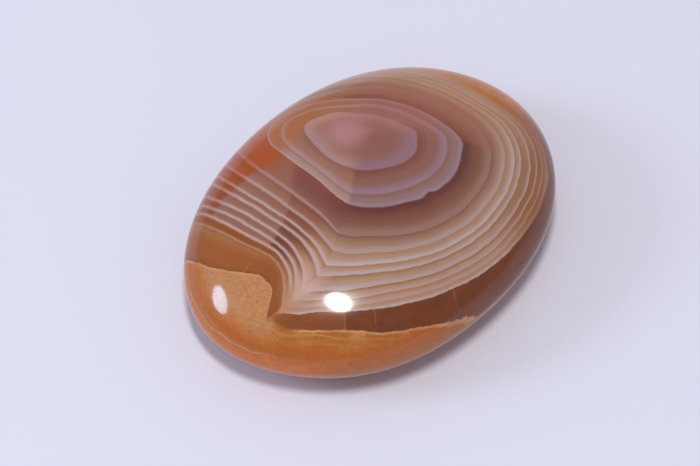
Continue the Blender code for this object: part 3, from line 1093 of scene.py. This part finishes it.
# %% Edge of the rind
EDGE_LINE = (RIND + 0.10, RIND + 0.05)
EDGE_PATCHES_PER_MM, EDGE_STRENGTH = 0.6, (0.35, 0.6, 0.35, 1.0)
CORNER_PAST_SEAM_MM, CORNER_REACH_MM = 1.0, (3.0, 0.8)
CORNER_BLUR = 0.14
RIND_STARTS, RIND_COMPLETE = RIND - 0.01, RIND + 0.02
from_corner_mm = add(SIZE_OF, add(MINUS, past_seam_mm, CORNER_PAST_SEAM_MM))
by_corner = add(SMOOTH, from_corner_mm, *CORNER_REACH_MM)
edge_line = add(TIMES, add(SMOOTH, level, *EDGE_LINE), add(MINUS, 1.0, by_corner))
edge_line = add(TIMES, edge_line, add(LINEAR, add(NOISE, in_mm, EDGE_PATCHES_PER_MM), *EDGE_STRENGTH))
rind = add(MIX, edge_line, rind, PALE_RIND_LINE_AND_REFLECTION)
edge_blur = add(TIMES, by_corner, CORNER_BLUR)
in_rind = add(SMOOTH, level, add(MINUS, RIND_STARTS, edge_blur), add(PLUS, RIND_COMPLETE, edge_blur))
colour = add(MIX, in_rind, banded, rind)
print("with the rind's edge there are", len(tree.nodes), "nodes")

# %% [markdown]
# Within every layer are far finer ones, a tenth as thick, that show as faint streaks. They
# follow the growth level, so a noise in one dimension is read along it. A slow noise then
# makes the stone a little lighter and darker from place to place, as depth does.

# %% Fine layers and depth
FINE_PER_LAYER, FINE_DETAIL, FINE_STRENGTH = 11.0, 2.0, 0.16
DEPTH_PER_MM, DEPTH_STRENGTH = 0.22, 0.14
fine = swing(add(LAYER_NOISE, level, FINE_PER_LAYER, FINE_DETAIL), FINE_STRENGTH)
shade = add(PLUS, fine, swing(add(NOISE, in_mm, DEPTH_PER_MM), DEPTH_STRENGTH))
colour = add(SCALED, colour, add(PLUS, shade, 1.0))
print("with the fine layers there are", len(tree.nodes), "nodes")

# %% [markdown]
# ## The polish
#
# The colour goes into one physically based shader. The dome was polished on felt with tin
# oxide, so it mirrors a lamp with a crisp edge. The polish isn't quite even, which a slow
# noise in the roughness gives. A trace of the tin oxide, whose refractive index is 2.0,
# stays in the finest scratches. As a thin, rough coat it gives the soft glow round the image
# of the brighter lamp.
#
# The flat back was only lapped, so it stays satin, with the lap's fine pits as bump. They
# are drawn at 0.25 mm, coarser than real, so that they show.

# %% Polish
CHALCEDONY_IOR = 1.54
POLISH_ROUGHNESS, UNEVENNESS_PER_MM = 0.08, 0.3
UNEVENNESS = (0.3, 0.7, POLISH_ROUGHNESS - 0.01, POLISH_ROUGHNESS + 0.02)
TIN_OXIDE_IOR, TIN_OXIDE_TRACE, TIN_OXIDE_ROUGHNESS = 2.0, 0.07, 0.22
LAPPED_ROUGHNESS = 0.38
LAPPED_BELOW_MM = (0.35, 0.05)
PITS_PER_MM = 4.0
PIT_DEPTH = 0.02 * MM
PIT_STRENGTH = 0.5
on_back = add(SMOOTH, height_mm, *LAPPED_BELOW_MM)
polish = add(LINEAR, add(NOISE, in_mm, UNEVENNESS_PER_MM), *UNEVENNESS)
pits = add(TIMES, add(NOISE, in_mm, PITS_PER_MM), on_back)
surface = add(SURFACE, named={
    "Base Color": colour,
    "Roughness": add(MIX_NUMBERS, on_back, polish, LAPPED_ROUGHNESS),
    "IOR": CHALCEDONY_IOR,
    "Coat Weight": TIN_OXIDE_TRACE,
    "Coat Roughness": TIN_OXIDE_ROUGHNESS,
    "Coat IOR": TIN_OXIDE_IOR,
    "Normal": add(BUMP, named={"Height": pits, "Distance": PIT_DEPTH, "Strength": PIT_STRENGTH}),
})
add(MATERIAL_OUTPUT, surface)
stone_mesh.materials.append(agate)
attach(stone, "root")
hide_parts("agate_cabochon")
print("the agate's material has", len(tree.nodes), "nodes")

# %% [markdown]
# ## Table, lamps and surroundings
#
# A still life of a small bright object needs little: a pale table, a small lamp almost
# overhead, a soft window-like lamp low on the left, and an even, dim glow from all round to
# open the shadows. The lamps are kept small, because their mirror images are what shows the
# polish. The table lies a hundredth of a millimetre below the stone, because two faces in
# the very same place would flicker.

# %% Table
TABLE_SIZE = 3.0
TABLE_BELOW = 0.01 * MM
TABLE_ROUGHNESS = 0.6
table_mesh = bpy.data.meshes.new("pale_table")
corner = TABLE_SIZE / 2
table_mesh.from_pydata(
    [(-corner, -corner, 0), (corner, -corner, 0), (corner, corner, 0), (-corner, corner, 0)],
    [],
    [(0, 1, 2, 3)],
)
table = bpy.data.objects.new("pale_table", table_mesh)
table.location.z = -TABLE_BELOW
bpy.context.scene.collection.objects.link(table)
table_paint = bpy.data.materials.new("matt_lilac_white_paint")
table_paint.use_nodes = True
paint_shader = table_paint.node_tree.nodes["Principled BSDF"]
paint_shader.inputs["Base Color"].default_value = srgb("#e1dfeb")
paint_shader.inputs["Roughness"].default_value = TABLE_ROUGHNESS
table_mesh.materials.append(table_paint)
table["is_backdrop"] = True
print("the table is", TABLE_SIZE, "m wide")

# %% [markdown]
# A lamp's size in degrees sets how large its mirror image is, and its radiance sets how
# bright. The watts that Blender asks for follow from the radiance and the lamp's area.

# %% Lamps and surroundings
LAMP_DISTANCE = 0.6
GLOW = 0.45
# Name, azimuth, elevation, width, height and roll as seen from the stone in degrees, radiance, colour.
LAMPS = (
    ("overhead_lamp", -43.1, 76.8, 6.6, 14.7, 23, 64.0, "#ffffff"),
    ("side_window", -128.8, 29.7, 22.9, 16.3, -30, 12.0, "#c6e4ff"),
)
for name, azimuth, elevation, width, height, roll, radiance, tint in LAMPS:
    lamp_data = bpy.data.lights.new(name, "AREA")
    lamp_data.shape = "ELLIPSE"
    lamp_data.size = 2 * LAMP_DISTANCE * math.tan(math.radians(width / 2))
    lamp_data.size_y = 2 * LAMP_DISTANCE * math.tan(math.radians(height / 2))
    lamp_area = math.pi / 4 * lamp_data.size * lamp_data.size_y
    lamp_data.energy = radiance * math.pi * lamp_area
    lamp_data.color = srgb(tint)[:3]
    lamp = bpy.data.objects.new(name, lamp_data)
    look_from(lamp, direction(math.radians(azimuth), math.radians(elevation)), LAMP_DISTANCE, girdle_centre)
    lamp.rotation_euler.rotate_axis("Z", math.radians(roll))
    bpy.context.scene.collection.objects.link(lamp)
    print(name, "gives", round(lamp_data.energy, 2), "watts")

world = bpy.data.worlds.new("soft_surroundings")
world.use_nodes = True
background = world.node_tree.nodes["Background"]
background.inputs["Color"].default_value = srgb("#f4f4ff")
background.inputs["Strength"].default_value = GLOW
bpy.context.scene.world = world
bpy.context.scene.view_settings.view_transform = "Standard"

# %% [markdown]
# ## Sizes
#
# The last cell writes the imported model's box and this one's, so that they can be compared.

# %% Print both boxes and finish
boxes = {"cad": cad_box, "visual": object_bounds()}
for name, box in boxes.items():
    print(name, "box in mm:", [[round(v / MM, 3) for v in point] for point in box])
